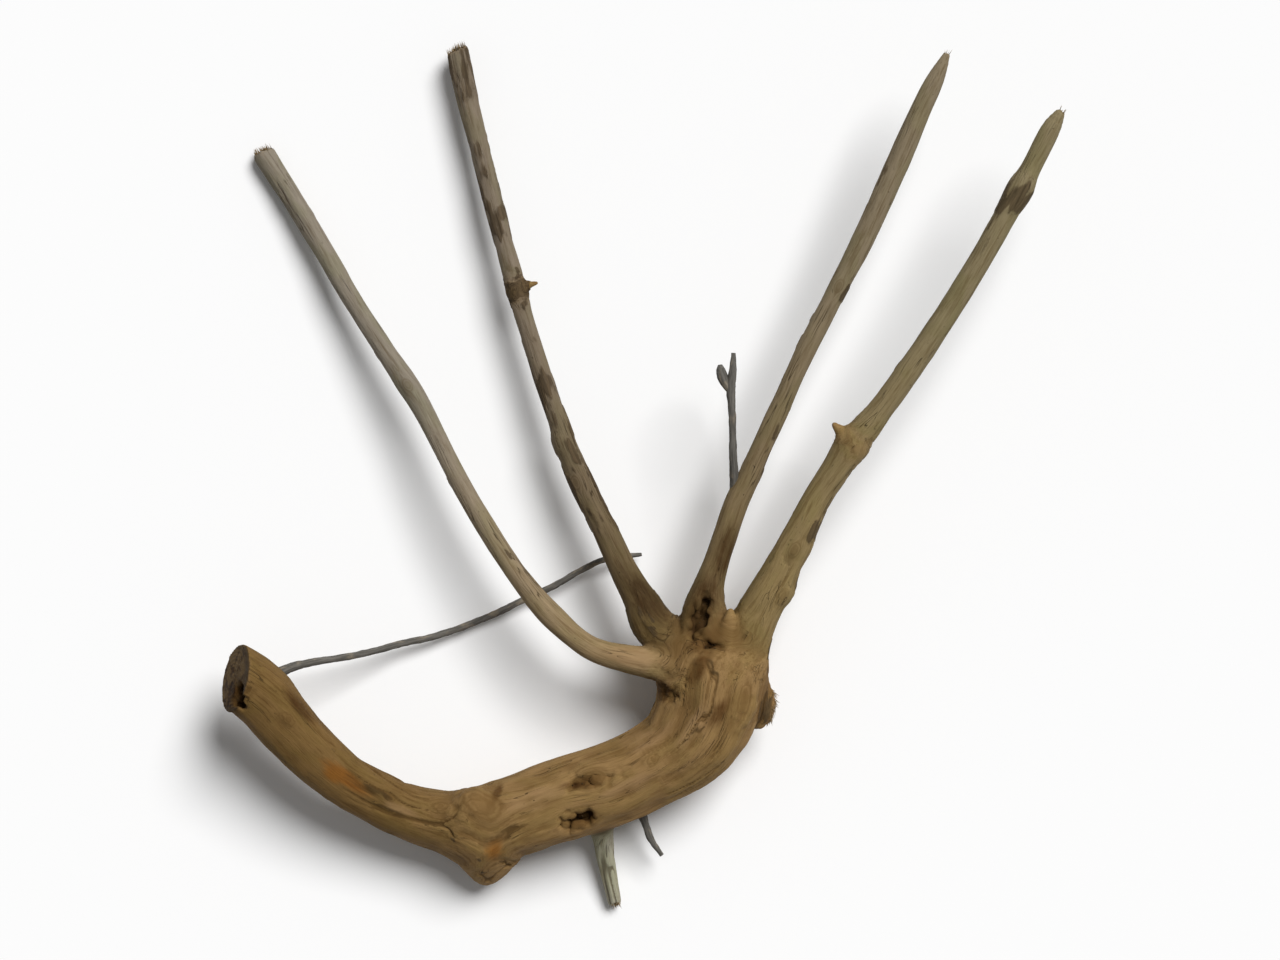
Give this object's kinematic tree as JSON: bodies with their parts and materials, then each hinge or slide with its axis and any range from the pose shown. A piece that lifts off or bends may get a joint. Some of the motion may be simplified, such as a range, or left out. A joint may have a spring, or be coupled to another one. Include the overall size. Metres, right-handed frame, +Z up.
{
  "type": "dry root",
  "caption": "Dry woody root with a curved stout butt, sawn at one end, and long finger roots spreading from a knotty fork head.",
  "frame": {"origin": "on the surface the root lies on, under the middle of the root's box", "axes": "+Z straight up from the surface, +Y towards the tips of the four fingers, +X from the sawn end towards the fork head"},
  "size_m": [0.3074, 0.3166, 0.0561],
  "materials": {
    "dry_root_wood": "matt, weathered"
  },
  "bodies": {
    "root": {"dry_root": "dry_root_wood"}
  },
  "joints": []
}
